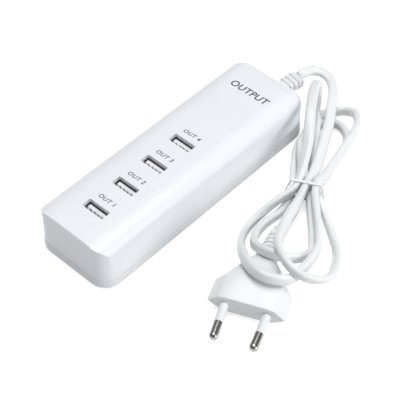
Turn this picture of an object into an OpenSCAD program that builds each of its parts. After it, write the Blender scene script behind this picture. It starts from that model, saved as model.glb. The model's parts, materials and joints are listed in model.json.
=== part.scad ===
// Power strip with upright USB sockets, a mains cord in a tied hank and a flat two-pin plug.
// Lengths are in millimetres. The origin is the middle of the housing's footprint on the floor.
// +X runs along the housing towards the cord, +Z is up.

/* [Housing] */
// Length of the housing
body_l = 140; // [136:1:170]
// Width of the housing
body_w = 44.5; // [42.5:0.5:60]
// Height of the housing above the floor
body_h = 25.5; // [24.5:0.5:30]
// Wall thickness of both covers
wall = 2; // [1.6:0.1:2.4]
// Radius of the upright corners at the plain end
near_r = 8.5; // [8:0.5:9.5]
// Radius of the corners at the cord end, where the rolled top edge goes round
far_r = 9; // [8:0.5:11]
// Squareness of the arched sides, a higher number is squarer
arch_n = 6; // [5:1:9]
// Height of the seam between the two covers
seam_z = 4.4; // [4.1:0.1:5.4]
// Ledge that the base shows outside the top cover
seam_step = 0.3; // [0.1:0.1:0.5]
// Bevel on the top edge of the plain end
end_bevel = 0.4; // [0.2:0.1:0.8]
// Thickness of the locating lip inside the seam
lip_t = 1; // [0.8:0.1:1.3]
// Height of the locating lip above the seam
lip_h = 1.6; // [1:0.1:1.8]
// Gap between the lip and the top cover
lip_gap = 0.15; // [0.1:0.05:0.3]

/* [Feet and screws] */
// Radius of a rubber foot
foot_r = 5; // [3.5:0.5:6]
// Height by which a foot lifts the base off the floor
foot_gap = 0.6; // [0.4:0.1:1]
// Depth of the recess a foot is stuck in
foot_sink = 0.8; // [0.5:0.1:1]
// Distance of the feet from the ends of the housing
foot_inset = 22; // [18:1:30]
// Radius of a screw post
post_r = 3.2; // [3:0.1:3.4]
// Distance of the posts at the cord end from that end and from the sides
far_post_in = 7; // [6.5:0.5:7.5]
// Height of the joint between a base boss and a cover post
post_joint_z = 6.4; // [6.2:0.1:7.4]
// Radius of a screw shank
screw_r = 1.25; // [1:0.05:1.3]
// Length of a screw shank
screw_l = 12; // [9:1:14]
// Radius of a screw head
screw_head_r = 2.4; // [2:0.1:2.5]
// Height of a screw head
screw_head_h = 1.4; // [1:0.1:1.5]

/* [Sockets] */
// Distance between neighbouring sockets
port_pitch = 18.4; // [17.4:0.1:18.8]
// Distance of the first socket from the plain end
port_inset = 17.5; // [17:0.1:18]
// Long side of a socket's opening
port_w = 12.5; // [12.3:0.1:12.7]
// Short side of a socket's opening
port_t = 5.12; // [5:0.01:5.3]
// Sheet thickness of a socket's shell
shell_t = 0.3; // [0.25:0.05:0.4]
// Gap between a shell and the cover
shell_gap = 0.15; // [0.1:0.05:0.3]
// Depth of a shell's rim below the top of the cover
shell_sink = 0.3; // [0.2:0.1:0.8]
// Width of the tongue
tongue_w = 11.1; // [10.8:0.1:11.4]
// Thickness of the tongue
tongue_t = 1.84; // [1.7:0.02:1.96]
// Gap behind the tongue
tongue_back = 0.72; // [0.6:0.02:0.8]
// Depth of the tongue's tip below the rim
tongue_sink = 1.1; // [0.8:0.1:1.5]
// Depth that a plug can enter
port_depth = 12.6; // [12:0.1:13.5]
// Thickness of a contact strip
contact_t = 0.25; // [0.2:0.05:0.3]
// Width of a contact strip
contact_w = 1; // [0.8:0.1:1.2]

/* [Circuit board] */
// Thickness of the board
board_t = 1.6; // [1.2:0.1:1.6]
// Height of the board above the inner floor
board_lift = 2.8; // [2.4:0.1:3]
// Gap between the board and what is round it
board_gap = 0.5; // [0.3:0.1:0.8]
// Radius of the pegs that locate the board
peg_r = 0.9; // [0.7:0.1:1.1]
// Gap round a peg
peg_gap = 0.1; // [0.05:0.05:0.2]
// Length of the transformer
trafo_l = 17; // [15:0.5:18]
// Width of the transformer
trafo_w = 17; // [15:0.5:18]
// Height of the transformer
trafo_h = 13.5; // [11:0.5:14]
// Radius of the mains capacitor
bulk_r = 5; // [4:0.25:5]
// Height of the mains capacitor
bulk_h = 14; // [11:0.5:14]
// Radius of the output capacitors
out_r = 4; // [3:0.25:4]
// Height of the output capacitors
out_h = 12; // [9:0.5:13]
// Radius of the choke
choke_r = 4.8; // [4:0.1:4.8]
// Height of the choke
choke_h = 5; // [4:0.5:7]
// Radius of the fuse
fuse_r = 2.2; // [1.8:0.1:2.3]
// Length of the fuse
fuse_l = 8.4; // [7:0.1:8.6]
// Radius of an insulated wire inside the housing
wire_r = 0.9; // [0.7:0.05:1]

/* [Strain relief] */
// Sideways place of the cord's exit
exit_y = -1.5; // [-2:0.5:2]
// Height of the cord's exit
exit_z = 12.5; // [12.5:0.5:14]
// Length of the relief outside the housing
relief_l = 19.8; // [14:0.1:26]
// Radius of the relief at the housing
relief_r0 = 4.3; // [4.3:0.1:4.8]
// Radius of the relief at its free end
relief_r1 = 3.6; // [3.3:0.1:4]
// Radius of the neck that sits in the wall
relief_neck_r = 3.8; // [3.5:0.1:4]
// Radius of the flange behind the wall
relief_flange_r = 5.6; // [5:0.1:5.8]
// Thickness of the flange behind the wall
relief_flange_t = 2.5; // [1.5:0.1:2.8]
// Gap round the neck and beside the wall
relief_gap = 0.1; // [0.05:0.05:0.2]
// Width of a groove in the relief
relief_groove_w = 1.1; // [0.6:0.1:1.4]
// Depth of a groove in the relief
relief_groove_d = 0.8; // [0.4:0.1:1]

/* [Cord] */
// Diameter of the round cord that stands for the flat one
cord_d = 3.8; // [3:0.1:3.8]
// Width of the band that ties the hank
tie_w = 1.4; // [1:0.1:3]
// Thickness of the band
tie_t = 0.7; // [0.5:0.1:0.8]

/* [Plug] */
// Width of the plug
plug_w = 35.6; // [34:0.1:36]
// Height of the plug
plug_h = 13; // [12.6:0.1:14]
// Width of each sloping side of the plug's pointed section
plug_slope_w = 7.2; // [5:0.1:8]
// Height of the narrow flat along each side of the plug
plug_edge_h = 0.8; // [0.4:0.1:3]
// Length of the part with parallel sides
plug_l = 12; // [11:0.5:14]
// Length of the tapered part behind it
plug_taper_l = 16; // [14:0.5:18]
// Radius of the flexible neck at the plug
neck_r0 = 5.4; // [5:0.1:5.6]
// Radius of the flexible neck at the cord
neck_r1 = 2.9; // [2.6:0.1:3.2]
// Distance between the ribs of the neck
rib_pitch = 3; // [2.6:0.1:3.6]
// Distance between the pins at the plug's face
pin_pitch = 19; // [18.4:0.1:19.2]
// Radius of a pin's bare end
pin_r = 2; // [1.9:0.01:2.05]
// Length of a pin
pin_l = 19; // [18.5:0.1:19.5]
// Length of the insulating sleeve on a pin
sleeve_l = 10; // [9.5:0.1:10.5]
// Radius of the insulating sleeve
sleeve_r = 2; // [1.9:0.01:2]
// Radius of a pin inside its sleeve
core_r = 1.4; // [1.2:0.05:1.5]
// Lean of each pin towards the other
pin_lean = 2.2; // [1.5:0.1:2.5]

/* [Hidden] */
$fn = 48;
eps = 0.01;
floor_z = foot_gap + wall;
board_z = floor_z + board_lift;
top_z = board_z + board_t;
ceiling_z = body_h - wall;
in_step = wall + seam_step;
lip_in = in_step + lip_gap + lip_t;
rim_z = body_h - shell_sink;
shell_w = port_w + 2 * shell_t;
shell_l = port_t + 2 * shell_t;
block_z = rim_z - port_depth;
near_post_x = -body_l / 2 + near_r;
far_post_x = body_l / 2 - far_post_in;
board_x0 = near_post_x + post_r + board_gap;
board_x1 = far_post_x - post_r - board_gap;
board_w = body_w - 2 * (lip_in + board_gap);
posts = [
    for (s = [-1, 1]) [near_post_x, s * (body_w / 2 - near_r)],
    for (s = [-1, 1]) [far_post_x, s * (body_w / 2 - far_post_in)]
];
pegs = [
    for (s = [-1, 1]) [board_x0 + 5, s * (board_w / 2 - 2.5)],
    for (s = [-1, 1]) [board_x1 - 2, s * (board_w / 2 - 2)]
];
feet = [for (x = [-1, 1], y = [-1, 1]) [x * (body_l / 2 - foot_inset), y * (body_w / 2 - 10)]];
screw_seat_z = floor_z - 0.2;
out_face = body_l / 2 - seam_step;
in_face = out_face - wall;

// Places along the plug: its face is at [plug_x, plug_y], turned by plug_turn from +X
plug_x = -38.4;
plug_y = -75.5;
plug_turn = 23.4;
neck_len = 20;
neck_drop = 3.7;
neck_s0 = plug_l + plug_taper_l;
neck_z0 = 6.15;
neck_s1 = neck_s0 + neck_len * cos(neck_drop);
neck_z1 = neck_z0 - neck_len * sin(neck_drop);

// Middle line of the tied hank from the housing to the plug
route = [
    [out_face + relief_l, exit_y, exit_z], [94.5, -3, 12.5], [98, -8, 12.2], [97, -15, 11.5],
    [90.5, -21.5, 11], [80.5, -28, 10.5], [70, -34.5, 10.5], [46, -46.5, 10.2], [33, -50.5, 8.9],
    [20.5, -55, 10.5], [9.5, -58.5, 12.5], [-7, -66.5, 18], [-12.5, -73, 19], [-15, -80, 18.5],
    [-13.5, -86.5, 16], [-8, -90.5, 12], [0, -91, 7.5], [9, -87.5, 4], [17, -82, 2.8],
    [29, -66.5, 3], [36, -56.5, 3.6],
    [47, -51, 3], [70, -45, 2.8], [78, -40.5, 2.8], [81, -33, 2.8], [76, -27, 2.8],
    [66, -25.5, 2.8], [54, -28.5, 2.8], [43, -35.5, 2.8], [30, -45, 3.6],
    [18.5, -48.5, 2.8], [7.5, -48, 2.8], [-2, -50, 4.5], [-9, -55, 8.5], [-13, -62, 14],
    [-11.5, -69, 14.5], [-5, -74, 10.5], [4, -75, 5], [13, -71, 2.8], [34, -52.5, 3.6],
    [44.5, -45.5, 4.5], [69, -28, 11.4], [78, -21, 10.4], [85.5, -15.5, 6.5], [91.2, -11, 6.4],
    [93.6, -8.3, 11.5], [90.5, -9.5, 17.5], [83.5, -13.5, 21.5], [74.5, -19, 22.5],
    [63, -27.5, 21.5], [49, -38, 15.5], [31, -46.8, 8.9],
    [19, -46, 8.2], [6.5, -43.5, 4], [-4, -45, 3.5], [-13.5, -51, 8.2], [-21, -58.8, 14.3],
    [-25, -66, 16], [-25.8, -73.3, 17], [-22, -79.5, 15.8], [-14, -82, 12.5], [6, -78, 7.5],
    [16.5, -71.5, 7.5], [35, -54.5, 8.9],
    [48, -51.6, 7.2], [74, -45.5, 7.6], [84, -42, 7], [90.5, -36, 5.5], [90, -29, 3.3],
    [83.5, -25, 3.3], [75, -23.8, 6], [55.5, -29.5, 8], [45, -38, 8.2], [32, -48.5, 3.6],
    [20.5, -53.6, 2.8],
    [plug_x + neck_s1 * cos(plug_turn), plug_y + neck_s1 * sin(plug_turn), neck_z1]
];

// Corner points of a rounded rectangle centred on the origin
function round_rect(l, w, r, n = 4) = [
    for (q = [0:3], i = [0:n])
        let (a = 90 * q + 90 * i / n, sx = q == 0 || q == 3 ? 1 : -1, sy = q < 2 ? 1 : -1)
        [sx * (l / 2 - r) + r * cos(a), sy * (w / 2 - r) + r * sin(a)]
];

// Footprint of the housing, drawn in by a distance
function footprint(inset, n = 10) = [
    for (q = [0:3], i = [0:n])
        let (
            far = q == 0 || q == 3,
            c = far ? far_r : near_r,
            r = max(c - inset, 0.5),
            k = c > inset + 0.5 ? c : inset + 0.5,
            a = 90 * q + 90 * i / n
        )
        [(far ? 1 : -1) * (body_l / 2 - k) + r * cos(a), (q < 2 ? 1 : -1) * (body_w / 2 - k) + r * sin(a)]
];

// Its near half alone, from the left corner round to the right one
function near_half(inset, n = 10) = [for (i = [n + 1:3 * n + 2]) footprint(inset, n)[i]];

// One point of the cover's arched section, counted from its right foot
function arch_point(i, side, top, n) = let (t = 180 * i / n)
    [side * sign(cos(t)) * pow(abs(cos(t)), 2 / arch_n),
     seam_z + (top - seam_z) * pow(max(sin(t), 0), 2 / arch_n)];

// Arched section of the top cover across its width
function arch(side, top, n = 40) = concat(
    [[side, -10]],
    [for (i = [0:n]) arch_point(i, side, top, n)],
    [[-side, -10]]
);

// Outermost strip of that section, as wide as the far corners' radius, from its foot up
function corner_roll(r, side, top, n = 40) =
    let (
        last = floor(acos(pow(1 - r / side, arch_n / 2)) * n / 180),
        a = arch_point(last, side, top, n),
        b = arch_point(last + 1, side, top, n)
    )
    concat(
        [for (i = [0:last]) arch_point(i, side, top, n) - [side - r, 0]],
        [[0, a[1] + (b[1] - a[1]) * (a[0] - side + r) / (a[0] - b[0])]]
    );

// Section of the top cover along its length: a crisp near end, and the arch's own roll at the far end
function side_view(inset, side, top, n = 40) = concat(
    [[-out_face + inset, -10], [-out_face + inset, top - end_bevel], [-out_face + inset + end_bevel, top]],
    [for (i = [n / 2:-1:0]) arch_point(i, side, top, n) + [out_face - inset - side, 0]],
    [[out_face - inset, -10]]
);

// Cover shape from its three views, drawn in by a distance, with the roll carried round the far corners
module cover_form(inset, low_z) {
    side = body_w / 2 - seam_step - inset;
    top = body_h - inset;
    r = far_r - seam_step - inset;
    x = out_face - inset - r;
    y = side - r;
    intersection() {
        translate([0, 0, low_z]) linear_extrude(40) polygon(concat(
            [[out_face - inset, -y], [out_face - inset, y], [x, y], [x, side]],
            near_half(seam_step + inset),
            [[x, -side], [x, -y]]
        ));
        translate([-100, 0, 0]) rotate([90, 0, 90]) linear_extrude(200) polygon(arch(side, top));
        translate([0, 50, 0]) rotate([90, 0, 0]) linear_extrude(100) polygon(side_view(inset, side, top));
    }
    for (turn = [0, -90]) translate([x, turn < 0 ? -y : y, 0]) rotate([0, 0, turn])
        rotate_extrude(angle = 90) polygon(concat(
            low_z < seam_z ? [[0, low_z], [r, low_z]] : [[0, low_z]],
            corner_roll(r, side, top)
        ));
}

function port_x(k) = -body_l / 2 + port_inset + (k - 1) * port_pitch;

// Top cover with socket openings, screw posts and the notch for the strain relief
module top_cover() {
    color([0.95, 0.95, 0.96]) difference() {
        cover_form(0, seam_z);
        difference() {
            cover_form(wall, -5);
            for (p = posts) translate([p[0], p[1], post_joint_z]) cylinder(r = post_r, h = 30);
        }
        for (k = [1:4]) translate([port_x(k), 0, ceiling_z - 1]) linear_extrude(6)
            polygon(round_rect(shell_l + 2 * shell_gap, shell_w + 2 * shell_gap, 0.6));
        for (p = posts) translate([p[0], p[1], 0]) cylinder(r = screw_r + 0.05, h = screw_seat_z + screw_l + 1);
        translate([in_face - 1, exit_y, exit_z]) rotate([0, 90, 0])
            cylinder(r = relief_neck_r + relief_gap, h = wall + 2);
        translate([in_face - 1, exit_y - relief_neck_r - relief_gap, 0])
            cube([wall + 2, 2 * (relief_neck_r + relief_gap), exit_z]);
    }
}

// Base cover with the seam lip, screw bosses, board stands and foot recesses
module base_cover() {
    color([0.93, 0.93, 0.94]) difference() {
        union() {
            translate([0, 0, foot_gap]) linear_extrude(wall) polygon(footprint(0));
            difference() {
                translate([0, 0, foot_gap]) linear_extrude(seam_z - foot_gap) polygon(footprint(0));
                translate([0, 0, floor_z]) linear_extrude(10) polygon(footprint(lip_in));
            }
            difference() {
                translate([0, 0, floor_z]) linear_extrude(seam_z + lip_h - floor_z)
                    polygon(footprint(in_step + lip_gap));
                translate([0, 0, floor_z - 1]) linear_extrude(12) polygon(footprint(lip_in));
            }
            for (p = posts) translate([p[0], p[1], floor_z - 0.5])
                cylinder(r = post_r, h = post_joint_z - floor_z + 0.5);
            for (p = pegs) translate([p[0], p[1], floor_z - 0.5]) {
                cylinder(r = peg_r + 1.1, h = board_lift + 0.5);
                cylinder(r = peg_r, h = board_lift + board_t + 1);
            }
            translate([in_face - 1, exit_y - relief_neck_r, floor_z - 0.5])
                cube([wall + 1, 2 * relief_neck_r, exit_z - 2.8 - floor_z + 0.5]);
        }
        translate([in_face - 3, exit_y, exit_z]) rotate([0, 90, 0])
            cylinder(r = relief_neck_r + relief_gap, h = 8);
        translate([in_face - 3, exit_y, exit_z]) rotate([0, 90, 0])
            cylinder(r = relief_flange_r + 0.3, h = 3 - relief_gap / 2);
        for (p = posts) translate([p[0], p[1], 0]) {
            cylinder(r = screw_head_r + 0.3, h = screw_seat_z);
            cylinder(r = screw_r + 0.15, h = 12);
        }
        for (p = feet) translate([p[0], p[1], foot_gap - 1]) cylinder(r = foot_r + 0.05, h = 1 + foot_sink);
    }
}

// Folded sheet shell of a socket, with a dished mouth and two windows on each long side
module usb_shell(k) {
    color([0.75, 0.76, 0.78]) translate([port_x(k), 0, 0]) difference() {
        translate([0, 0, top_z]) linear_extrude(rim_z - top_z) difference() {
            polygon(round_rect(shell_l, shell_w, 0.6));
            polygon(round_rect(port_t, port_w, 0.3));
        }
        for (s = [-1, 1]) translate([-5, s * port_w / 4 - 1, block_z + 3]) cube([10, 2, 5.5]);
    }
}

// Plastic tongue of a socket with the block that fills the shell's foot
module usb_tongue(k) {
    color([0.93, 0.93, 0.93]) translate([port_x(k), 0, 0]) difference() {
        union() {
            translate([0, 0, top_z]) linear_extrude(block_z - top_z)
                polygon(round_rect(port_t - 0.02, port_w - 0.02, 0.3));
            translate([port_t / 2 - tongue_back - tongue_t, -tongue_w / 2, block_z - 1])
                cube([tongue_t, tongue_w, port_depth - tongue_sink + 1]);
        }
        contact_strips(0.01, -1, 40);
    }
}

// Four contact strips on the wide side of a tongue
module contact_strips(slack, z0, z1) {
    for (y = [-3.5, -1, 1, 3.5])
        translate([port_t / 2 - tongue_back - tongue_t - slack, y - contact_w / 2 - slack, z0])
            cube([contact_t + 2 * slack, contact_w + 2 * slack, z1 - z0]);
}

module usb_contacts(k) {
    color([0.62, 0.62, 0.6]) translate([port_x(k), 0, 0])
        contact_strips(0, top_z, rim_z - tongue_sink - 1);
}

// Circuit board
module circuit_board() {
    color([0.13, 0.38, 0.24]) difference() {
        translate([board_x0, -board_w / 2, board_z]) cube([board_x1 - board_x0, board_w, board_t]);
        for (p = pegs) translate([p[0], p[1], board_z - 1]) cylinder(r = peg_r + peg_gap, h = board_t + 2);
    }
}

// Parts on the board, placed from its end at the cord and from its long edges
module on_board(x, edge) {
    translate([board_x1 - x, edge > 0 ? board_w / 2 - edge : edge < 0 ? -board_w / 2 - edge : 0, top_z]) children();
}

// Ferrite core of the transformer: a frame round the coil
module transformer_core() {
    color([0.2, 0.2, 0.21]) on_board(30, 0) difference() {
        translate([-trafo_l / 2, -trafo_w / 2 + 2.5, 0]) cube([trafo_l, trafo_w - 5, trafo_h]);
        translate([-trafo_l / 2 + 3, -trafo_w / 2, -1]) cube([trafo_l - 6, trafo_w, trafo_h - 2]);
    }
}

module transformer_coil() {
    color([0.85, 0.68, 0.2]) on_board(30, 0)
        translate([-trafo_l / 2 + 3.1, -trafo_w / 2, 0]) cube([trafo_l - 6.2, trafo_w, trafo_h - 3.1]);
}

// Electrolytic capacitor standing on its end
module can(r, h) {
    cylinder(r = r, h = h - 0.6);
    translate([0, 0, h - 0.7]) cylinder(r = r - 0.5, h = 0.7);
}

module mains_capacitor() {
    color([0.12, 0.13, 0.16]) on_board(14, -(bulk_r + 3.5)) can(bulk_r, bulk_h);
}

module output_capacitors() {
    color([0.14, 0.2, 0.32]) for (s = [-1, 1]) on_board(44.5, s * (out_r + 3.2)) can(out_r, out_h);
}

// Fuse lying across the board on its two end blocks
module fuse() {
    color([0.8, 0.78, 0.7]) on_board(5, -(fuse_l / 2 + 4.5)) {
        translate([0, -fuse_l / 2, fuse_r + 0.4]) rotate([-90, 0, 0]) cylinder(r = fuse_r, h = fuse_l);
        for (s = [-1, 1]) translate([-fuse_r, s * (fuse_l / 2 - 1) - 1, 0]) cube([2 * fuse_r, 2, fuse_r]);
    }
}

// Ring core choke lying flat
module choke() {
    color([0.72, 0.42, 0.22]) on_board(14, 16.5) rotate_extrude()
        translate([choke_r - 1.4, choke_h / 2]) polygon(round_rect(2.8, choke_h, 0.8));
}

module bridge_rectifier() {
    color([0.1, 0.1, 0.11]) on_board(14, 6) translate([-4, -3, 0]) cube([8, 6, 3.2]);
}

module suppression_capacitor() {
    color([0.86, 0.66, 0.14]) on_board(5, 10.3) translate([-2.5, -5, 0]) cube([5, 10, 9]);
}

module controller_chip() {
    color([0.09, 0.09, 0.1]) on_board(30, 5) translate([-2.6, -2.4, 0]) cube([5.2, 4.8, 1.6]);
}

module optocoupler() {
    color([0.94, 0.94, 0.92]) on_board(30, -6) translate([-2.3, -3.2, 0]) cube([4.6, 6.4, 3.4]);
}

// Two insulated wires from the strain relief, bent down to the board
module mains_wires() {
    bend = 2.5;
    x0 = board_x1 - 4;
    x1 = in_face - relief_gap - relief_flange_t;
    color([0.25, 0.35, 0.6]) for (s = [-1, 1]) translate([0, exit_y + s * 1.5, 0]) {
        translate([x0, 0, top_z]) cylinder(r = wire_r, h = exit_z - bend - top_z);
        translate([x0 + bend, 0, exit_z - bend]) rotate([90, 0, 0]) rotate(90)
            rotate_extrude(angle = 90) translate([bend, 0]) circle(r = wire_r);
        translate([x0 + bend, 0, exit_z]) rotate([0, 90, 0]) cylinder(r = wire_r, h = x1 - x0 - bend);
    }
}

// Four screws from below, with cross recesses
module case_screws() {
    color([0.7, 0.71, 0.73]) for (p = posts) translate([p[0], p[1], screw_seat_z]) difference() {
        union() {
            translate([0, 0, -screw_head_h]) cylinder(r = screw_head_r, h = screw_head_h);
            cylinder(r = screw_r, h = screw_l);
        }
        for (a = [0, 90]) translate([0, 0, -screw_head_h]) rotate(a)
            cube([screw_head_r * 1.3, 0.6, 1.6], center = true);
    }
}

module rubber_feet() {
    color([0.3, 0.3, 0.31]) for (p = feet) translate([p[0], p[1], 0]) cylinder(r = foot_r, h = foot_gap + foot_sink);
}

// Tapered strain relief with a neck in the wall, a flange behind it and ring grooves
module strain_relief() {
    r_at = function (x) relief_r0 + (relief_r1 - relief_r0) * x / relief_l;
    color([0.9, 0.91, 0.9]) translate([out_face, exit_y, exit_z]) rotate([0, 90, 0]) difference() {
        union() {
            translate([0, 0, -wall - relief_gap - relief_flange_t])
                cylinder(r = relief_flange_r, h = relief_flange_t);
            translate([0, 0, -wall - relief_gap - 1]) cylinder(r = relief_neck_r, h = wall + 2);
            translate([0, 0, relief_gap])
                cylinder(r1 = relief_r0, r2 = relief_r1, h = relief_l - relief_gap);
        }
        for (x = [0.4, 0.55, 0.7]) translate([0, 0, relief_l * x - relief_groove_w / 2])
            difference() {
                cylinder(r = 8, h = relief_groove_w);
                translate([0, 0, -1]) cylinder(r = r_at(relief_l * x) - relief_groove_d, h = relief_groove_w + 2);
            }
    }
}

// Unit vector
function unit(v) = v / norm(v);

// Direction of the cord at each point, square to the relief and to the plug's neck at its ends
end_way = [-cos(plug_turn) * cos(neck_drop), -sin(plug_turn) * cos(neck_drop), sin(neck_drop)];
ways = [
    for (i = [0:len(route) - 1])
        i == 0 ? [1, 0, 0] : i == len(route) - 1 ? end_way
        : unit(unit(route[i + 1] - route[i]) + unit(route[i] - route[i - 1]))
];

// Side direction carried along the cord without twist
function carry(i, v) = i == len(route) ? []
    : let (w = unit(v - ways[i] * (v * ways[i]))) concat([w], carry(i + 1, w));

// Mains cord in a tied hank
module power_cord() {
    sides = 8;
    out = carry(0, [0, 0, 1]);
    rings = [
        for (i = [0:len(route) - 1], k = [0:sides - 1])
            route[i] + cord_d / 2 * (cos(360 * k / sides) * out[i]
                + sin(360 * k / sides) * cross(ways[i], out[i]))
    ];
    last = (len(route) - 1) * sides;
    color([0.93, 0.93, 0.92]) polyhedron(rings, concat(
        [[for (k = [0:sides - 1]) k]],
        [for (i = [0:len(route) - 2], k = [0:sides - 1]) let (a = i * sides, b = (k + 1) % sides)
            [a + k, a + sides + k, a + sides + b, a + b]],
        [[for (k = [sides - 1:-1:0]) last + k]]
    ));
}

// Band round the seven strands of the hank
tie_form = [[-8.6, 0.85], [8.6, 0.85], [8.6, 6], [6.6, 11.6], [-6.6, 11.6], [-8.6, 6]];
module cord_tie() {
    color([0.96, 0.96, 0.96]) translate([33, -50.5, 0]) rotate(28.4) translate([-tie_w / 2, 0, 0])
        rotate([90, 0, 90]) linear_extrude(tie_w) difference() {
            polygon([for (p = tie_form) [p[0] + sign(p[0]) * tie_t, p[1] + (p[1] < 3 ? -tie_t : p[1] > 8 ? tie_t : 0)]]);
            polygon(tie_form);
        }
}

// Places a piece on the plug: x runs back from its face, z up from the floor
module at_plug() {
    translate([plug_x, plug_y, 0]) rotate(plug_turn) children();
}

module at_pin(s) {
    at_plug() translate([0, s * pin_pitch / 2, plug_h / 2]) rotate(s * pin_lean) rotate([0, -90, 0]) children();
}

// Half width of the plug behind its parallel part, straight at first and hollow towards the neck
function taper(t) = neck_r0 + 1.2 + (plug_w / 2 - neck_r0 - 1.2) * (1 - t) * (1.18 - 0.18 * (1 - t) - 0.35 * t);

// Flat plug: a bevelled block that narrows to a ribbed neck
module plug_body() {
    hw = plug_w / 2;
    hh = plug_h / 2;
    b = plug_slope_w;
    e = plug_edge_h / 2;
    back = plug_l + plug_taper_l;
    color([0.9, 0.92, 0.9]) difference() {
        at_plug() union() {
            intersection() {
                rotate([90, 0, 90]) linear_extrude(back) polygon([[-hw, hh - e], [-hw + b, 0],
                    [hw - b, 0], [hw, hh - e], [hw, hh + e], [hw - b, plug_h], [-hw + b, plug_h],
                    [-hw, hh + e]]);
                linear_extrude(plug_h) polygon(concat(
                    [[0, -hw]], [for (i = [0:8]) [plug_l + plug_taper_l * i / 8, -taper(i / 8)]],
                    [for (i = [8:-1:0]) [plug_l + plug_taper_l * i / 8, taper(i / 8)]], [[0, hw]]));
                translate([0, 30, 0]) rotate([90, 0, 0]) linear_extrude(60) polygon([[0, 0],
                    [plug_l, 0], [back, neck_z0 - neck_r0 + 0.2], [back, neck_z0 + neck_r0 - 0.2],
                    [plug_l, plug_h], [0, plug_h]]);
            }
            translate([neck_s0, 0, neck_z0]) rotate([0, 90 + neck_drop, 0]) difference() {
                translate([0, 0, -3]) cylinder(r1 = neck_r0, r2 = neck_r1, h = neck_len + 3);
                for (z = [2.4:rib_pitch:neck_len - 3]) let (r = neck_r0 + (neck_r1 - neck_r0) * z / neck_len)
                    translate([0, 0, z]) difference() {
                        cylinder(r = 8, h = rib_pitch * 0.4);
                        translate([0, 0, -1]) cylinder(r = r - 0.9, h = 4);
                    }
            }
        }
        for (s = [-1, 1]) at_pin(s) translate([0, 0, -6]) cylinder(r = core_r, h = 10);
    }
}

module pin_sleeve(s) {
    color([0.92, 0.92, 0.9]) at_pin(s) difference() {
        translate([0, 0, 0.15]) cylinder(r = sleeve_r, h = sleeve_l - 0.15);
        translate([0, 0, -1]) cylinder(r = core_r, h = sleeve_l + 2);
    }
}

module plug_pin(s) {
    color([0.78, 0.78, 0.77]) at_pin(s) {
        translate([0, 0, -6]) cylinder(r = core_r, h = sleeve_l + 7);
        translate([0, 0, sleeve_l]) cylinder(r = pin_r, h = pin_l - sleeve_l - pin_r);
        intersection() {
            translate([0, 0, pin_l - pin_r]) sphere(r = pin_r);
            translate([0, 0, pin_l - pin_r - eps]) cylinder(r = pin_r + 1, h = pin_r + 1);
        }
    }
}

top_cover();
base_cover();
for (k = [1:4]) {
    usb_shell(k);
    usb_tongue(k);
    usb_contacts(k);
}
circuit_board();
transformer_core();
transformer_coil();
mains_capacitor();
output_capacitors();
fuse();
choke();
bridge_rectifier();
suppression_capacitor();
controller_chip();
optocoupler();
mains_wires();
case_screws();
rubber_feet();
strain_relief();
power_cord();
cord_tie();
plug_body();
pin_sleeve(-1);  // pin_sleeve_1
pin_sleeve(1);  // pin_sleeve_2
plug_pin(-1);  // plug_pin_1
plug_pin(1);  // plug_pin_2
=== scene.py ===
import json
import math
import bpy
from mathutils import Matrix, Vector


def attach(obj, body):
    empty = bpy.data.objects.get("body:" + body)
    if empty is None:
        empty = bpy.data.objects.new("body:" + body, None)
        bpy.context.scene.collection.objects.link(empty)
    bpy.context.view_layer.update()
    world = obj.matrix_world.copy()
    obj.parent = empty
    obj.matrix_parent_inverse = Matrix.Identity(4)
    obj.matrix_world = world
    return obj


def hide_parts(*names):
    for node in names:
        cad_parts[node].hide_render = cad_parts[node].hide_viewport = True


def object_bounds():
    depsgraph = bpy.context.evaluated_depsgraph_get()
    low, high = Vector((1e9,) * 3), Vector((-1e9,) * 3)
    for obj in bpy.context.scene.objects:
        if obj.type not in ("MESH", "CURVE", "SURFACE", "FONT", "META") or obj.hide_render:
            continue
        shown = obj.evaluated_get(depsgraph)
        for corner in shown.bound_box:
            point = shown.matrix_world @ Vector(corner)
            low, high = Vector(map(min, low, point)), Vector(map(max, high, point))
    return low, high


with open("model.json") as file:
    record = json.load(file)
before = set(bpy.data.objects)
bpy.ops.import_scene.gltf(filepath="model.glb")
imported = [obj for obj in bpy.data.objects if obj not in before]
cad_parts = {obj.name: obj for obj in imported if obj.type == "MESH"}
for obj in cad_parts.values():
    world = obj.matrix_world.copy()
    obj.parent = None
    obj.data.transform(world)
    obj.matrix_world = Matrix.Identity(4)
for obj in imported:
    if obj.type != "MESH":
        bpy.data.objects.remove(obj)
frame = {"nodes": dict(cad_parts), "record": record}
cadBounds = [list(corner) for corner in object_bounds()]
nodes = frame["nodes"]
slotNames = {row["node"]: row["material_slot"] for row in frame["record"]["subparts"]}
mm = 0.001
print("frame loaded:", len(nodes), "nodes")


def clearSelection():
    if bpy.context.object and bpy.context.object.mode != "OBJECT":
        bpy.ops.object.mode_set(mode="OBJECT")
    bpy.ops.object.select_all(action="DESELECT")


def makeActive(piece):
    clearSelection()
    piece.select_set(True)
    bpy.context.view_layer.objects.active = piece


def settle(piece):
    # leaves the piece's place in its mesh
    makeActive(piece)
    bpy.ops.object.transform_apply(location=True, rotation=True, scale=True)


def applyAll(piece):
    makeActive(piece)
    for modifier in list(piece.modifiers):
        bpy.ops.object.modifier_apply(modifier=modifier.name)


def smoothBelow(piece, degrees):
    makeActive(piece)
    bpy.ops.object.shade_smooth_by_angle(angle=math.radians(degrees))


def paint(piece, material):
    piece.data.materials.clear()
    piece.data.materials.append(material)


def finishPiece(piece, material):
    paint(piece, material)
    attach(piece, "root")


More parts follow.
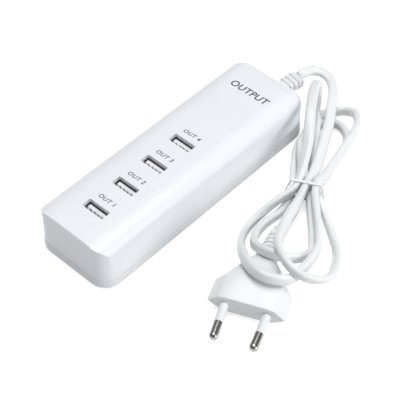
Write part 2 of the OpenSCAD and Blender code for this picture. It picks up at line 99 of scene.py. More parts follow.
def loftPiece(name, rings, smooth):
    # a closed skin over rings that all have the same number of points, in millimetres
    count = len(rings[0])
    verts = [tuple(point * mm) for ring in rings for point in ring]
    faces = []
    for i in range(len(rings) - 1):
        for k in range(count):
            n = (k + 1) % count
            faces.append((i * count + k, i * count + n, (i + 1) * count + n, (i + 1) * count + k))
    faces.append(tuple(reversed(range(count))))
    faces.append(tuple((len(rings) - 1) * count + k for k in range(count)))
    mesh = bpy.data.meshes.new(name)
    mesh.from_pydata(verts, [], faces)
    mesh.validate()
    mesh.update()
    piece = bpy.data.objects.new(name, mesh)
    bpy.context.scene.collection.objects.link(piece)
    makeActive(piece)
    bpy.ops.object.mode_set(mode="EDIT")
    bpy.ops.mesh.select_all(action="SELECT")
    bpy.ops.mesh.normals_make_consistent(inside=False)
    bpy.ops.mesh.select_all(action="DESELECT")
    bpy.ops.object.mode_set(mode="OBJECT")
    smoothBelow(piece, smooth)
    return piece


# how a CAD node is copied: distances in millimetres, angles in degrees
copySettings = {"mergeWithin": 0.002, "flatWithin": 0.4, "edgeSteps": 2, "smoothBelow": 24}


def softCopy(nodeName, pieceName, edge=0, sharpFrom=28, reshape=None):
    # a merged copy of a CAD node whose sharp edges get a small moulded radius
    piece = nodes[nodeName].copy()
    piece.data = nodes[nodeName].data.copy()
    piece.name = pieceName
    piece.data.name = pieceName
    bpy.context.scene.collection.objects.link(piece)
    piece.parent = None
    makeActive(piece)
    bpy.ops.object.mode_set(mode="EDIT")
    bpy.ops.mesh.select_all(action="SELECT")
    bpy.ops.mesh.remove_doubles(threshold=copySettings["mergeWithin"] * mm)
    bpy.ops.mesh.dissolve_limited(angle_limit=math.radians(copySettings["flatWithin"]))
    bpy.ops.mesh.select_all(action="DESELECT")
    bpy.ops.object.mode_set(mode="OBJECT")
    if reshape:
        for vertex in piece.data.vertices:
            vertex.co = Vector(reshape(*(vertex.co / mm))) * mm
    if edge > 0:
        bevel = piece.modifiers.new("edge", "BEVEL")
        bevel.width = edge * mm
        bevel.segments = copySettings["edgeSteps"]
        bevel.limit_method = "ANGLE"
        bevel.angle_limit = math.radians(sharpFrom)
        bevel.use_clamp_overlap = True
        bevel.harden_normals = False
        applyAll(piece)
    smoothBelow(piece, copySettings["smoothBelow"])
    weighted = piece.modifiers.new("weights", "WEIGHTED_NORMAL")
    weighted.keep_sharp = True
    applyAll(piece)
    return piece


cameraSettings = {
    "place": (-0.277872, -0.260754, 0.417124),
    "right": (0.673380, -0.739205, 0.011611),
    "up": (0.547554, 0.509224, 0.663985),
    "back": (-0.496734, -0.440757, 0.747656),
    "lens": 106.81, "sensor": 36, "nearest": 0.01, "farthest": 20,
}


def addCamera(settings):
    bpy.ops.object.camera_add()
    camera = bpy.context.object
    camera.name = "photoCamera"
    columns = [settings[key] for key in ("right", "up", "back", "place")]
    rows = [tuple(column[k] for column in columns) for k in range(3)]
    camera.matrix_world = Matrix((*rows, (0, 0, 0, 1)))
    camera.data.sensor_width = settings["sensor"]
    camera.data.lens = settings["lens"]
    camera.data.clip_start = settings["nearest"]
    camera.data.clip_end = settings["farthest"]
    bpy.context.scene.camera = camera


addCamera(cameraSettings)
print("camera placed")


skinSettings = {
    # noise values between these two are spread over a finish's whole range
    "noiseLow": 0.3, "noiseHigh": 0.7,
    # how much smoother and rougher than its own value a finish gets, and how strong its relief is
    "plasticSmoother": 0.03, "plasticRougher": 0.04, "plasticBump": 0.5, "slowScale": 38,
    "metalSmoother": 0.05, "metalRougher": 0.06, "metalSmoothest": 0.02, "metalBump": 0.3,
    "markScale": 2600.0, "markStretch": (1, 1, 0.06), "markDepth": 0.000004,
}


def addSpread(tree, low=0.0, high=1.0):
    # widens the middle of a noise to the range from low to high
    spread = tree.nodes.new("ShaderNodeMapRange")
    spread.inputs["From Min"].default_value = skinSettings["noiseLow"]
    spread.inputs["From Max"].default_value = skinSettings["noiseHigh"]
    spread.inputs["To Min"].default_value = low
    spread.inputs["To Max"].default_value = high
    return spread


def addBump(tree, strength, distance):
    bump = tree.nodes.new("ShaderNodeBump")
    bump.inputs["Strength"].default_value = strength
    bump.inputs["Distance"].default_value = distance
    return bump


def newGroup(name, inputs, outputs):
    # a node group with number sockets: inputs with their first values, and outputs
    group = bpy.data.node_groups.new(name, "ShaderNodeTree")
    for label, value in inputs:
        socket = group.interface.new_socket(name=label, in_out="INPUT", socket_type="NodeSocketFloat")
        socket.default_value = value
    for label in outputs:
        group.interface.new_socket(name=label, in_out="OUTPUT", socket_type="NodeSocketFloat")
    return group, group.nodes.new("NodeGroupInput"), group.nodes.new("NodeGroupOutput")


def buildMouldGrain():
    # fine skin of a moulded part: small grain on a slow unevenness
    group, start, end = newGroup(
        "mouldGrain", [("Scale", 900.0), ("Depth", 0.00002), ("Waviness", 0.3)], ["Height", "Mask"])
    place = group.nodes.new("ShaderNodeTexCoord")
    grain = group.nodes.new("ShaderNodeTexNoise")
    grain.inputs["Detail"].default_value = 3
    slow = group.nodes.new("ShaderNodeTexNoise")
    slow.inputs["Scale"].default_value = skinSettings["slowScale"]
    slow.inputs["Detail"].default_value = 2
    mix = group.nodes.new("ShaderNodeMix")
    mix.data_type = "FLOAT"
    gain = group.nodes.new("ShaderNodeMath")
    gain.operation = "MULTIPLY"
    link = group.links.new
    link(place.outputs["Object"], grain.inputs["Vector"])
    link(place.outputs["Object"], slow.inputs["Vector"])
    link(start.outputs["Scale"], grain.inputs["Scale"])
    link(start.outputs["Waviness"], mix.inputs[0])
    link(grain.outputs["Fac"], mix.inputs[2])
    link(slow.outputs["Fac"], mix.inputs[3])
    link(mix.outputs[0], gain.inputs[0])
    link(start.outputs["Depth"], gain.inputs[1])
    link(gain.outputs[0], end.inputs["Height"])
    link(slow.outputs["Fac"], end.inputs["Mask"])
    return group


def buildDrawMarks():
    # marks that a drawn or folded metal part carries along its height
    group, start, end = newGroup("drawMarks", [("Scale", skinSettings["markScale"])], ["Marks"])
    place = group.nodes.new("ShaderNodeTexCoord")
    stretch = group.nodes.new("ShaderNodeMapping")
    stretch.inputs["Scale"].default_value = skinSettings["markStretch"]
    marks = group.nodes.new("ShaderNodeTexNoise")
    marks.inputs["Detail"].default_value = 2
    link = group.links.new
    link(place.outputs["Object"], stretch.inputs["Vector"])
    link(stretch.outputs["Vector"], marks.inputs["Vector"])
    link(start.outputs["Scale"], marks.inputs["Scale"])
    link(marks.outputs["Fac"], end.inputs["Marks"])
    return group


mouldGrain = buildMouldGrain()
drawMarks = buildDrawMarks()


def placeGroup(tree, group, **values):
    node = tree.nodes.new("ShaderNodeGroup")
    node.node_tree = group
    for label, value in values.items():
        node.inputs[label].default_value = value
    return node


def newMaterial(name, color, roughness, metallic=0.0, coat=0.0):
    material = bpy.data.materials.new(name)
    material.use_nodes = True
    tree = material.node_tree
    shader = tree.nodes["Principled BSDF"]
    shader.inputs["Base Color"].default_value = (*color, 1)
    shader.inputs["Roughness"].default_value = roughness
    shader.inputs["Metallic"].default_value = metallic
    shader.inputs["Coat Weight"].default_value = coat
    return material, tree, shader


def mouldedPlastic(name, color, shade, roughness, scale, depth, waviness, coat=0.0):
    # moulded plastic whose colour and gloss drift a little over the surface
    material, tree, shader = newMaterial(name, color, roughness, coat=coat)
    grain = placeGroup(tree, mouldGrain, Scale=scale, Depth=depth, Waviness=waviness)
    tint = tree.nodes.new("ShaderNodeMix")
    tint.data_type = "RGBA"
    tint.inputs[6].default_value = (*shade, 1)
    tint.inputs[7].default_value = (*color, 1)
    drift = addSpread(tree)
    gloss = addSpread(tree, roughness - skinSettings["plasticSmoother"], roughness + skinSettings["plasticRougher"])
    bump = addBump(tree, skinSettings["plasticBump"], 1.0)
    link = tree.links.new
    link(grain.outputs["Mask"], drift.inputs["Value"])
    link(drift.outputs["Result"], tint.inputs[0])
    link(tint.outputs[2], shader.inputs["Base Color"])
    link(grain.outputs["Mask"], gloss.inputs["Value"])
    link(gloss.outputs["Result"], shader.inputs["Roughness"])
    link(grain.outputs["Height"], bump.inputs["Height"])
    link(bump.outputs["Normal"], shader.inputs["Normal"])
    return material


def platedMetal(name, color, roughness):
    # plated metal with faint draw marks
    material, tree, shader = newMaterial(name, color, roughness, metallic=1.0)
    marks = placeGroup(tree, drawMarks, Scale=skinSettings["markScale"])
    smoothest = max(roughness - skinSettings["metalSmoother"], skinSettings["metalSmoothest"])
    gloss = addSpread(tree, smoothest, roughness + skinSettings["metalRougher"])
    bump = addBump(tree, skinSettings["metalBump"], skinSettings["markDepth"])
    link = tree.links.new
    link(marks.outputs["Marks"], gloss.inputs["Value"])
    link(gloss.outputs["Result"], shader.inputs["Roughness"])
    link(marks.outputs["Marks"], bump.inputs["Height"])
    link(bump.outputs["Normal"], shader.inputs["Normal"])
    return material


boardSettings = {
    "color": (0.02, 0.16, 0.07), "roughness": 0.35, "gridScale": 130,
    "dark": (0.016, 0.13, 0.055, 1), "light": (0.02, 0.17, 0.07, 1),
    "track": (0.05, 0.25, 0.12, 1), "trackWidth": 0.06,
}


def boardResist(name, settings):
    # green resist over a grid of copper tracks
    material, tree, shader = newMaterial(name, settings["color"], settings["roughness"])
    place = tree.nodes.new("ShaderNodeTexCoord")
    brick = tree.nodes.new("ShaderNodeTexBrick")
    brick.inputs["Scale"].default_value = settings["gridScale"]
    brick.inputs["Color1"].default_value = settings["dark"]
    brick.inputs["Color2"].default_value = settings["light"]
    brick.inputs["Mortar"].default_value = settings["track"]
    brick.inputs["Mortar Size"].default_value = settings["trackWidth"]
    tree.links.new(place.outputs["Object"], brick.inputs["Vector"])
    tree.links.new(brick.outputs["Color"], shader.inputs["Base Color"])
    return material


# name, colour, shaded colour, roughness, grain scale, grain depth in metres, waviness and clear coat
plasticSettings = {
    "housing": ("housingWhite", (0.875, 0.892, 0.912), (0.86, 0.877, 0.9), 0.36, 1500, 0.000004, 0.2, 0.1),
    "base": ("baseWhite", (0.87, 0.89, 0.905), (0.855, 0.875, 0.893), 0.42, 1500, 0.000005, 0.2),
    "cord": ("cordVinyl", (0.84, 0.86, 0.85), (0.815, 0.84, 0.83), 0.36, 700, 0.00001, 0.6),
    "relief": ("reliefVinyl", (0.87, 0.885, 0.88), (0.85, 0.865, 0.86), 0.38, 900, 0.000008, 0.4),
    "plug": ("plugVinyl", (0.85, 0.865, 0.865), (0.83, 0.845, 0.845), 0.34, 1100, 0.000008, 0.35),
    "sleeve": ("sleevePlastic", (0.83, 0.85, 0.84), (0.81, 0.83, 0.82), 0.38, 1100, 0.000006, 0.3),
    "tie": ("tieBand", (0.9, 0.91, 0.9), (0.88, 0.89, 0.88), 0.45, 1500, 0.00001, 0.3),
    "tongue": ("tonguePlastic", (0.88, 0.88, 0.89), (0.86, 0.86, 0.87), 0.4, 1500, 0.000005, 0.3),
    "print": ("printInk", (0.03, 0.03, 0.035), (0.04, 0.04, 0.045), 0.5, 2500, 0.000004, 0.3),
    "smallPrint": ("smallPrintInk", (0.08, 0.08, 0.09), (0.1, 0.1, 0.11), 0.5, 2500, 0.000004, 0.3),
    "feet": ("feetRubber", (0.05, 0.05, 0.052), (0.04, 0.04, 0.042), 0.75, 900, 0.00003, 0.4),
    "ferrite": ("ferriteDark", (0.03, 0.03, 0.033), (0.04, 0.04, 0.042), 0.7, 1800, 0.00002, 0.2),
    "tape": ("coilTape", (0.75, 0.52, 0.07), (0.7, 0.46, 0.05), 0.35, 600, 0.00001, 0.6),
    "blackCan": ("blackSleeve", (0.018, 0.018, 0.022), (0.025, 0.025, 0.03), 0.28, 900, 0.000006, 0.3),
    "blueCan": ("blueSleeve", (0.02, 0.045, 0.16), (0.025, 0.055, 0.19), 0.28, 900, 0.000006, 0.3),
    "fuseBody": ("fuseCeramic", (0.62, 0.6, 0.52), (0.58, 0.56, 0.48), 0.55, 1200, 0.00001, 0.3),
    "blackResin": ("blackResin", (0.02, 0.02, 0.02), (0.03, 0.03, 0.03), 0.6, 1500, 0.00002, 0.2),
    "chipResin": ("chipResin", (0.018, 0.018, 0.019), (0.025, 0.025, 0.026), 0.55, 1500, 0.00002, 0.2),
    "yellowBlock": ("yellowBlock", (0.72, 0.45, 0.05), (0.68, 0.4, 0.04), 0.4, 1200, 0.00001, 0.3),
    "whiteBlock": ("whiteBlock", (0.8, 0.8, 0.77), (0.77, 0.77, 0.74), 0.5, 1200, 0.00001, 0.3),
    "wire": ("wireBlue", (0.03, 0.09, 0.35), (0.025, 0.08, 0.3), 0.35, 900, 0.000008, 0.4),
}
# name, colour and roughness
metalSettings = {
    "copper": ("copperWinding", (0.72, 0.33, 0.14), 0.3),
    "screwSteel": ("screwSteel", (0.55, 0.55, 0.57), 0.28),
    "shell": ("shellTin", (0.66, 0.67, 0.7), 0.24),
    "contact": ("contactPlate", (0.82, 0.8, 0.74), 0.38),
    "pin": ("pinNickel", (0.4, 0.39, 0.365), 0.22),
}
finishes = {key: mouldedPlastic(*row) for key, row in plasticSettings.items()}
finishes.update({key: platedMetal(*row) for key, row in metalSettings.items()})
finishes["board"] = boardResist("boardResist", boardSettings)
print("materials ready")


cordSettings = {
    "width": 5.2, "thickness": 3.4, "steps": 6, "ringPoints": 20, "smoothBelow": 50,
    # where the cord runs steeper than the least level, its section only carries on what comes before it;
    # elsewhere it keeps some of its turn and takes some of the wanted lean, and then all turns are evened
    "leastLevel": 0.05, "keepTurn": 1.25, "takeLean": 0.8, "evenings": 6,
    # x, y, z in millimetres and how flat the cord lies there:
    # 0 on edge, 1 flat, below 0 leaning to the other side
    "route": [
        # out of the relief, along the housing and under the tie
        (85.8, -2.9, 12.9, -0.6), (88.3, -2.8, 12.9, -0.58), (90.9, -3.3, 12.7, -0.54), (93.6, -4.5, 12.5, -0.65),
        (95.9, -6.9, 12.4, -0.85), (97, -10.5, 12.1, -0.95), (95.9, -15.5, 11.5, -1), (90.5, -21.5, 11, -1.1),
        (80.5, -28, 10.5, -1.15), (70, -34.5, 10.5, -1.15), (46, -46.5, 10.2, -1.4), (33, -50.5, 8.9, -1.9),
        # first turn over the plug
        (20.5, -55, 10.5, 0.5), (9.5, -58.5, 12.5, 0.6), (-7, -66.5, 18, 0.2), (-12.5, -73, 19, 0.1),
        (-15, -80, 18.5, 0), (-13.5, -86.5, 16, 0.1), (-8, -90.5, 12, 0.3), (0, -91, 7.5, 0.4),
        (9, -87.5, 4, 0.4), (17, -82, 2.8, 0.2), (29, -66.5, 3, 0), (36, -56.5, 3.6, 0),
        # low turn at the housing's cord end
        (47, -51, 3, 0), (70, -45, 2.8, 0), (78, -40.5, 2.8, 0), (81, -33, 2.8, 0), (76, -27, 2.8, 0),
        (66, -25.5, 2.8, 0), (54, -28.5, 2.8, 0), (43, -35.5, 2.8, 0), (30, -45, 3.6, 0),
        # second turn over the plug
        (18.5, -48.5, 2.8, 0), (7.5, -48, 2.8, 0), (-2, -50, 4.5, 0), (-9, -55, 8.5, 0.1), (-13, -62, 14, 0.1),
        (-11.5, -69, 14.5, 0.1), (-5, -74, 10.5, 0.2), (4, -75, 5, 0.1), (13, -71, 2.8, 0), (34, -52.5, 3.6, 0),
        # standing fold at the housing's cord end
        (44.5, -45.5, 4.5, 0.3), (66, -30, 10.6, 0.6), (73, -24.3, 9, 0.8), (78.5, -20.1, 7.4, 1),
        (82.9, -17, 9.3, 1), (85.1, -15.2, 14, 1), (83, -16.2, 18.8, 1), (77.6, -18.9, 21.4, 1),
        (71, -22.7, 22, 1), (61, -29.4, 21, 1), (49, -38, 15.5, 0.7), (31, -46.8, 8.9, 0),
        # third turn over the plug
        (19, -46, 8.2, 0), (6.5, -43.5, 4, 0), (-4, -45, 3.5, 0), (-13.5, -51, 8.2, 0.1), (-21, -58.8, 14.3, 0.4),
        (-25, -66, 16, 0.3), (-25.8, -73.3, 17, 0.2), (-22, -79.5, 15.8, 0.2), (-14, -82, 12.5, 0.2),
        (6, -78, 7.5, 0.1), (16.5, -71.5, 7.5, 0), (35, -54.5, 8.9, 0),
        # wide low turn and back to the plug's neck
        (48, -51.6, 7.2, 0.2), (74, -45.5, 7.6, 0.1), (84, -42, 7, 0), (90.5, -36, 5.5, 0), (90, -29, 3.3, 0),
        (83.5, -25, 3.3, 0), (75, -23.8, 6, 0), (55.5, -29.5, 8, 0.1), (45, -38, 8.2, 0), (32, -48.5, 3.6, 0),
        (20.5, -53.6, 2.8, 0), (5.615, -56.454, 4.859, 0.3),
    ],
}


def smoothRoute(points, steps):
    # one smooth line through the points, as pairs of place and flatness
    rows = [Vector(point[:3]) for point in points]
    flat = [point[3] for point in points]
    line = []
    last = len(rows) - 1
    for i in range(last):
        a, b, c, d = rows[max(i - 1, 0)], rows[i], rows[i + 1], rows[min(i + 2, last)]
        changesSide = flat[i] < 0 <= flat[i + 1]
        for k in range(steps):
            t = k / steps
            slope = (c - a) * t
            bend = (2 * a - 5 * b + 4 * c - d) * t * t
            twist = (3 * b - a - 3 * c + d) * t ** 3
            lie = flat[i] if changesSide else flat[i] + (flat[i + 1] - flat[i]) * t
            line.append((0.5 * (2 * b + slope + bend + twist), lie))
    line.append((rows[last], flat[last]))
    return line


def leanOptions(way, upright, flat):
    # the ways in which the section's long side may stand for this flatness
    level = way.cross(upright)
    lean = math.radians(90 * abs(flat))
    options = []
    for sign in ((-1,) if flat < 0 else (1, -1)):
        wanted = upright * math.cos(lean) + level * math.sin(lean) * sign
        options += [wanted, wanted * -1]
    return options


def longSides(line, ways, settings):
    # the long side follows the wanted lie and is carried on where the cord climbs
    sides = []
    carried = Vector((0, 0, 1))
    for (place, flat), way in zip(line, ways):
        carried = (carried - way * carried.dot(way)).normalized()
        upright = Vector((0, 0, 1)) - way * way.z
        hold = upright.length
        if hold > settings["leastLevel"]:
            upright.normalize()
            best = max(leanOptions(way, upright, flat), key=lambda option: option.dot(carried))
            carried = (carried * (settings["keepTurn"] - hold) + best * hold * settings["takeLean"]).normalized()
            carried = (carried - way * carried.dot(way)).normalized()
        sides.append(carried.copy())
    for _ in range(settings["evenings"]):
        evened = [(before + side * 2 + after).normalized() for before, side, after in zip(sides, sides[1:], sides[2:])]
        sides = [sides[0], *evened, sides[-1]]
    return sides


def buildCord(settings):
    line = smoothRoute(settings["route"], settings["steps"])
    places = [place for place, flat in line]
    last = len(places) - 1
    ways = [(places[min(i + 1, last)] - places[max(i - 1, 0)]).normalized() for i in range(last + 1)]
    half = settings["thickness"] / 2
    reach = settings["width"] / 2 - half
    rings = []
    for place, way, side in zip(places, ways, longSides(line, ways, settings)):
        side = (side - way * side.dot(way)).normalized()
        thin = way.cross(side)
        ring = []
        for k in range(settings["ringPoints"]):
            # two half rounds joined by the cord's flat faces
            angle = 2 * math.pi * (k + 0.5) / settings["ringPoints"]
            along = half * math.sin(angle) + math.copysign(reach, math.sin(angle))
            ring.append(place + side * along + thin * (half * math.cos(angle)))
        rings.append(ring)
    piece = loftPiece("mainsCord", rings, settings["smoothBelow"])
    path = [tuple(place * mm) for place in places]
    length = sum((b - a).length for a, b in zip(places, places[1:])) * mm
    return piece, path, length


cordPiece, cordPath, cordLength = buildCord(cordSettings)
finishPiece(cordPiece, finishes["cord"])
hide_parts("power_cord")
print("cord made, length", round(cordLength, 3))


# paper is the floor's own colour, and glow is added to it for the camera and in reflections
studioSettings = {
    "floorSize": 6, "floorLevel": -0.0002, "paper": (0.76, 0.76, 0.76, 1), "glow": 0.62,
    "skyColor": (0.9, 0.93, 1, 1), "skyStrength": 0.245,
    # name, place, size across and power
    "lamps": [("above", (0.15, 0.1, 1.4), 1.2, 15.5), ("lowSide", (0.2, -1.1, 0.3), 0.6, 5.6)],
}
white = (1, 1, 1, 1)


def addFloor(settings):
    bpy.ops.mesh.primitive_plane_add(size=settings["floorSize"], location=(0, 0, settings["floorLevel"]))
    floor = bpy.context.object
    floor.name = "studioFloor"
    material = bpy.data.materials.new("studioFloorPaper")
    material.use_nodes = True
    tree = material.node_tree
    tree.nodes.clear()
    out = tree.nodes.new("ShaderNodeOutputMaterial")
    paper = tree.nodes.new("ShaderNodeBsdfDiffuse")
    paper.inputs["Color"].default_value = settings["paper"]
    glow = tree.nodes.new("ShaderNodeEmission")
    glow.inputs["Color"].default_value = white
    glow.inputs["Strength"].default_value = settings["glow"]
    rays = tree.nodes.new("ShaderNodeLightPath")
    seen = tree.nodes.new("ShaderNodeMath")
    seen.operation = "MAXIMUM"
    add = tree.nodes.new("ShaderNodeAddShader")
    mix = tree.nodes.new("ShaderNodeMixShader")
    link = tree.links.new
    link(rays.outputs["Is Camera Ray"], seen.inputs[0])
    link(rays.outputs["Is Glossy Ray"], seen.inputs[1])
    link(paper.outputs[0], add.inputs[0])
    link(glow.outputs[0], add.inputs[1])
    link(seen.outputs[0], mix.inputs[0])
    link(paper.outputs[0], mix.inputs[1])
    link(add.outputs[0], mix.inputs[2])
    link(mix.outputs[0], out.inputs["Surface"])
    paint(floor, material)


def addBackground(tree, color, strength):
    background = tree.nodes.new("ShaderNodeBackground")
    background.inputs["Color"].default_value = color
    background.inputs["Strength"].default_value = strength
    return background


def addWorld(settings):
    world = bpy.data.worlds.new("studioWorld")
    world.use_nodes = True
    tree = world.node_tree
    tree.nodes.clear()
    out = tree.nodes.new("ShaderNodeOutputWorld")
    sky = addBackground(tree, settings["skyColor"], settings["skyStrength"])
    backdrop = addBackground(tree, white, 1.0)
    rays = tree.nodes.new("ShaderNodeLightPath")
    mix = tree.nodes.new("ShaderNodeMixShader")
    link = tree.links.new
    link(rays.outputs["Is Camera Ray"], mix.inputs[0])
    link(sky.outputs[0], mix.inputs[1])
    link(backdrop.outputs[0], mix.inputs[2])
    link(mix.outputs[0], out.inputs["Surface"])
    bpy.context.scene.world = world


def addLamp(name, place, size, power):
    # a round lamp that points at the origin
    bpy.ops.object.light_add(type="AREA", location=place)
    lamp = bpy.context.object
    lamp.name = name
    lamp.data.shape = "DISK"
    lamp.data.size = size
    lamp.data.energy = power
    lamp.rotation_euler = (Vector((0, 0, 0)) - Vector(place)).to_track_quat("-Z", "Y").to_euler()


addFloor(studioSettings)
addWorld(studioSettings)
for lampRow in studioSettings["lamps"]:
    addLamp(*lampRow)
bpy.context.scene.view_settings.view_transform = "Standard"
print("studio set")


housingSettings = {"coverEdge": 0.28, "baseEdge": 0.3, "sharpFrom": 30}
socketSettings = {
    "places": [-52.5, -34.1, -15.7, 2.7],
    # the opening in the cover is drawn in over the metal shell, from its size in the CAD
    "openingAcross": 5.12 / 6.02, "openingAlong": 12.5 / 13.4,
    # what lies this near to a socket's middle, and above this height, belongs to its opening
    "nearAcross": 3.4, "nearAlong": 7.2, "nearAbove": 22,
    # node, piece, finish and height of the top above the floor
    "pieces": [
        ("usb_shell", "socketShell", "shell", 23.4),
        ("usb_tongue", "socketTongue", "tongue", 22.8),
        ("usb_contacts", "socketContacts", "contact", 22.6),
    ],
}


def drawInOpenings(x, y, z):
    settings = socketSettings
    for place in settings["places"]:
        beside = abs(x - place) < settings["nearAcross"] and abs(y) < settings["nearAlong"]
        if beside and z > settings["nearAbove"]:
            return place + (x - place) * settings["openingAcross"], y * settings["openingAlong"], z
    return x, y, z


def lowerTo(top):
    return lambda x, y, z: (x, y, min(z, top))


def replaceNode(nodeName, pieceName, finishName, slotName, **shaping):
    piece = softCopy(nodeName, pieceName, **shaping)
    finishPiece(piece, finishes[finishName])
    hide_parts(nodeName)
    return piece


replaceNode("top_cover", "topCover", "housing", "housing", edge=housingSettings["coverEdge"],
            sharpFrom=housingSettings["sharpFrom"], reshape=drawInOpenings)
replaceNode("base_cover", "baseCover", "base", "base", edge=housingSettings["baseEdge"],
            sharpFrom=housingSettings["sharpFrom"])
print("covers made")

for number in range(1, len(socketSettings["places"]) + 1):
    for node, name, finishName, top in socketSettings["pieces"]:
        nodeName = f"{node}_{number}"
        replaceNode(nodeName, f"{name}{number}", finishName, slotNames[nodeName], reshape=lowerTo(top))
print("sockets dressed")


def between(rows, at):
    # the values at a distance, between the two rows beside it; a row starts with its own distance
    i = max(k for k in range(len(rows) - 1) if rows[k][0] <= at + 1e-6)
    t = (at - rows[i][0]) / (rows[i + 1][0] - rows[i][0])
    return [a + (b - a) * t for a, b in zip(rows[i][1:], rows[i + 1][1:])]


reliefSettings = {
    "thickness": 5.0, "corner": 1.3, "cornerSteps": 5, "height": 12.5, "leastFlat": 0.2, "smoothBelow": 40,
    # along the middle line: x, y, turn towards the hank in degrees
    "line": [
        (68.8, -1.5, 0), (72.5, -1.55, 3), (76.1, -2.0, 8), (78.7, -2.5, 12), (81.4, -3.0, 14),
        (84.6, -3.4, 12), (86.4, -3.6, 8),
    ],
    # distance along, half width, drop of the skin in a groove
    "stations": [
        (0, 3.3, 0), (4.9, 3.3, 0), (5.1, 3.7, 0), (5.4, 4.0, 0), (6.9, 4.1, 0), (7.1, 4.1, 0.8), (7.6, 4.2, 0.8),
        (7.8, 4.25, 0), (9.6, 4.35, 0), (9.8, 4.4, 0.8), (10.3, 4.4, 0.8), (10.5, 4.45, 0), (12.4, 4.55, 0),
        (12.6, 4.6, 0.8), (13.1, 4.6, 0.8), (13.3, 4.65, 0), (15.8, 4.6, 0), (16.3, 4.4, 0.15), (16.6, 4.0, 0.5),
    ],
}


def buildRelief(settings):
    line = settings["line"]
    rows = [(0, *line[0])]
    for a, b in zip(line, line[1:]):
        rows.append((rows[-1][0] + math.hypot(b[0] - a[0], b[1] - a[1]), *b))
    rings = []
    for along, halfWidth, drop in settings["stations"]:
        x, y, turn = between(rows, along)
        side = Vector((math.sin(math.radians(turn)), math.cos(math.radians(turn)), 0))
        half = halfWidth - drop
        tall = settings["thickness"] / 2 - drop
        corner = min(settings["corner"], tall - settings["leastFlat"])
        ring = []
        for signSide, signUp, start in ((1, 1, 0), (-1, 1, 90), (-1, -1, 180), (1, -1, 270)):
            for step in range(settings["cornerSteps"]):
                angle = math.radians(start + 90 * step / (settings["cornerSteps"] - 1))
                across = signSide * (half - corner) + corner * math.cos(angle)
                upward = signUp * (tall - corner) + corner * math.sin(angle)
                ring.append(Vector((x, y, settings["height"] + upward)) + side * across)
        rings.append(ring)
    return loftPiece("cordRelief", rings, settings["smoothBelow"])


relief = buildRelief(reliefSettings)
finishPiece(relief, finishes["relief"])
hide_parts("strain_relief")
print("relief made")


plugSettings = {
    "place": (-38.4, -75.5), "turn": 23.4, "middle": 6.5, "smoothBelow": 22,
    # right half of the face, from the top to the underside, and its greatest half width and half height
    "face": [
        (0, 11.3), (5, 11.35), (9.9, 11.25), (12.6, 10.65), (14.5, 9.1), (16.1, 7.8), (17.6, 6.5),
        (16.2, 5.3), (14.8, 4.3), (12.2, 2.7), (10.3, 2.1), (8.5, 1.75), (4, 1.7), (0, 1.7),
    ],
    "faceReach": 17.6, "faceRise": 4.8,
    # distance behind the face, half width, half height above and below the middle, share of roundness
    "body": [
        (0, 17.2, 4.45, 0), (0.25, 17.5, 4.7, 0), (0.7, 17.6, 4.85, 0), (4, 17.6, 5.4, 0), (8, 17.6, 5.95, 0),
        (12, 17.5, 6.3, 0), (12.3, 17.3, 6.3, 0), (16, 14.8, 6.25, 0.05), (19.8, 12, 6.15, 0.15),
        (22.7, 10.4, 6.05, 0.3), (25.5, 8.3, 5.85, 0.6), (28, 6.1, 5.5, 1),
    ],
    # grooves across the narrowing back, as offsets from each one's middle with their depths
    "bodyRibs": [16.6, 18.4, 20.2, 22.0, 23.8, 25.6],
    "ribCut": [(-0.3, 0), (-0.15, 0.22), (0.15, 0.22), (0.3, 0)],
    "neckLength": 20, "neckDrop": 3.7, "neckHeight": 6.15, "neckRadii": (5.4, 2.9),
    # grooves round the neck, as offsets from each one's start with their depths
    "neckRibs": [2.4, 5.4, 8.4, 11.4, 14.4],
    "neckCut": [(0, 0), (0.15, 0.85), (1.05, 0.85), (1.2, 0)],
    "neckStart": [(0.6, 0)], "neckEnd": [(19.4, 0), (19.85, 0.3), (20, 0.6)],
}


def buildPlug(settings):
    right = settings["face"]
    outline = right + [(-w, z) for w, z in reversed(right[1:-1])]
    middle = settings["middle"]
    reach, rise = settings["faceReach"], settings["faceRise"]
    angles = [math.atan2((z - middle) / rise, w / reach) for w, z in outline]
    bodyLength = settings["body"][-1][0]
    turn = math.radians(settings["turn"])
    along = Vector((math.cos(turn), math.sin(turn), 0))
    across = Vector((-math.sin(turn), math.cos(turn), 0))
    origin = Vector((*settings["place"], 0))

    def bodyRing(s, inset):
        halfWidth, halfHeight, roundness = between(settings["body"], s)
        centre = middle + (settings["neckHeight"] - middle) * min(s / bodyLength, 1)
        size = 1 - inset / halfHeight
        ring = []
        for (w, z), angle in zip(outline, angles):
            lens = (w / reach * halfWidth, (z - middle) / rise * halfHeight)
            oval = (halfWidth * math.cos(angle), halfHeight * math.sin(angle))
            a, b = ((flat * (1 - roundness) + curved * roundness) * size for flat, curved in zip(lens, oval))
            ring.append(origin + along * s + across * a + Vector((0, 0, centre + b)))
        return ring

    stations = [(row[0], 0) for row in settings["body"]]
    stations += [(s + offset, depth) for s in settings["bodyRibs"] for offset, depth in settings["ribCut"]]
    rings = [bodyRing(s, inset) for s, inset in sorted(stations)]

    # the round neck drops towards the floor
    drop = math.radians(settings["neckDrop"])
    down = along * math.cos(drop) - Vector((0, 0, math.sin(drop)))
    upright = across.cross(down) * -1
    start = origin + along * bodyLength + Vector((0, 0, settings["neckHeight"]))
    wide, narrow = settings["neckRadii"]
    cuts = [(s + offset, depth) for s in settings["neckRibs"] for offset, depth in settings["neckCut"]]
    for s, inset in settings["neckStart"] + cuts + settings["neckEnd"]:
        radius = wide + (narrow - wide) * s / settings["neckLength"] - inset
        middlePoint = start + down * s
        rings.append([middlePoint + across * radius * math.cos(angle) + upright * radius * math.sin(angle)
                      for angle in angles])
    return loftPiece("plugBody", rings, settings["smoothBelow"])


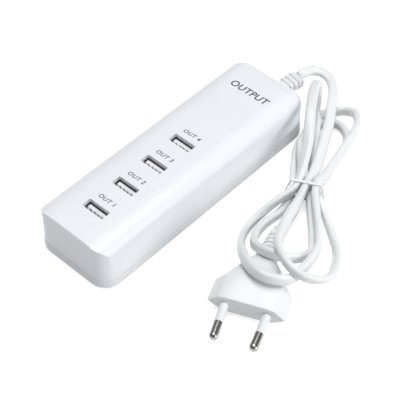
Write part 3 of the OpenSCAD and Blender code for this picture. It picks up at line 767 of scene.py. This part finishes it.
plugBody = buildPlug(plugSettings)
finishPiece(plugBody, finishes["plug"])
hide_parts("plug_body")

for number in (1, 2):
    paint(nodes[f"pin_sleeve_{number}"], finishes["sleeve"])
    paint(nodes[f"plug_pin_{number}"], finishes["pin"])
print("plug made")


tieSettings = {"edge": 0.2, "sharpFrom": 20}
tie = replaceNode("cord_tie", "cordTie", "tie", "tie", **tieSettings)
print("tie made")


printSettings = {
    # millimetres: how far the ink stands proud, its thickness and how much the letters are widened
    "lift": 0.015, "depth": 0.05, "widen": 0.06,
    "sizeForHeight": 1.42,    # text size for a capital of height 1
    "words": [
        {"name": "wordOutput", "text": "OUTPUT", "place": (49.5, -0.5), "look": "print"},
        {"name": "markOne", "text": "OUT 1", "place": (-45.7, 0), "look": "smallPrint"},
        {"name": "markTwo", "text": "OUT 2", "place": (-27.3, 0), "look": "smallPrint"},
        {"name": "markThree", "text": "OUT 3", "place": (-8.9, 0), "look": "smallPrint"},
        {"name": "markFour", "text": "OUT 4", "place": (9.5, 0), "look": "smallPrint"},
    ],
    "looks": {
        "print": {"height": 3.9, "slant": 0.1, "spacing": 1.04},
        "smallPrint": {"height": 2.2, "slant": 0.15, "spacing": 1.15},
    },
}


def printWord(word, settings):
    look = settings["looks"][word["look"]]
    bpy.ops.object.text_add()
    piece = bpy.context.object
    piece.data.body = word["text"]
    piece.data.size = look["height"] * settings["sizeForHeight"] * mm
    piece.data.shear = look["slant"]
    piece.data.align_x = "CENTER"
    piece.data.align_y = "CENTER"
    piece.data.offset = settings["widen"] * mm
    piece.data.extrude = settings["depth"] / 2 * mm
    piece.data.space_character = look["spacing"]
    level = cadBounds[1][2] + settings["lift"] * mm - settings["depth"] / 2 * mm
    # the words run across the housing, with their tops towards the cord end
    piece.location = (word["place"][0] * mm, word["place"][1] * mm, level)
    piece.rotation_euler = (0, 0, math.radians(-90))
    makeActive(piece)
    bpy.ops.object.convert(target="MESH")
    piece = bpy.context.object
    piece.name = word["name"]
    settle(piece)
    finishPiece(piece, finishes[word["look"]])


for word in printSettings["words"]:
    printWord(word, printSettings)
print("words printed")


# pieces inside the housing, its screws and its feet keep their CAD shapes
innerFinishes = {
    "circuit_board": "board", "transformer_core": "ferrite", "transformer_coil": "tape",
    "mains_capacitor": "blackCan", "output_capacitors": "blueCan", "fuse": "fuseBody",
    "choke": "copper", "bridge_rectifier": "blackResin", "suppression_capacitor": "yellowBlock",
    "controller_chip": "chipResin", "optocoupler": "whiteBlock", "mains_wires": "wire",
    "case_screws": "screwSteel", "rubber_feet": "feet",
}
for nodeName, finishName in innerFinishes.items():
    paint(nodes[nodeName], finishes[finishName])
print("inner pieces dressed")


clearSelection()
